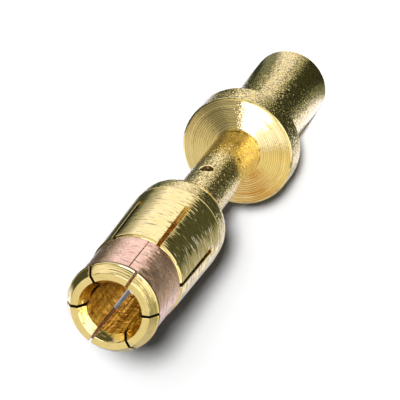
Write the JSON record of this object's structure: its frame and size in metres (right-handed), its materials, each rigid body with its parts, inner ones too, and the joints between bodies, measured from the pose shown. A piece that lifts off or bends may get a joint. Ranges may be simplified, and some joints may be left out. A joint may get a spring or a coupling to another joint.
{
  "type": "crimp socket contact",
  "caption": "Turned crimp contact with a slotted spring socket held by a rolled ring, a narrow neck with an inspection hole, a locating collar and a wire barrel.",
  "frame": {"origin": "on the axis, at the open end of the wire barrel that the contact stands on", "axes": "+Z along the axis from the wire end to the socket mouth; -Y through one of the finger slots"},
  "size_m": [0.0076, 0.0076, 0.0379],
  "materials": {
    "contact_metal": "fine turned, satin",
    "ring_metal": "rolled copper-coloured strip, satin"
  },
  "bodies": {
    "root": {"contact_body": "contact_metal", "spring_ring": "ring_metal"}
  },
  "joints": []
}
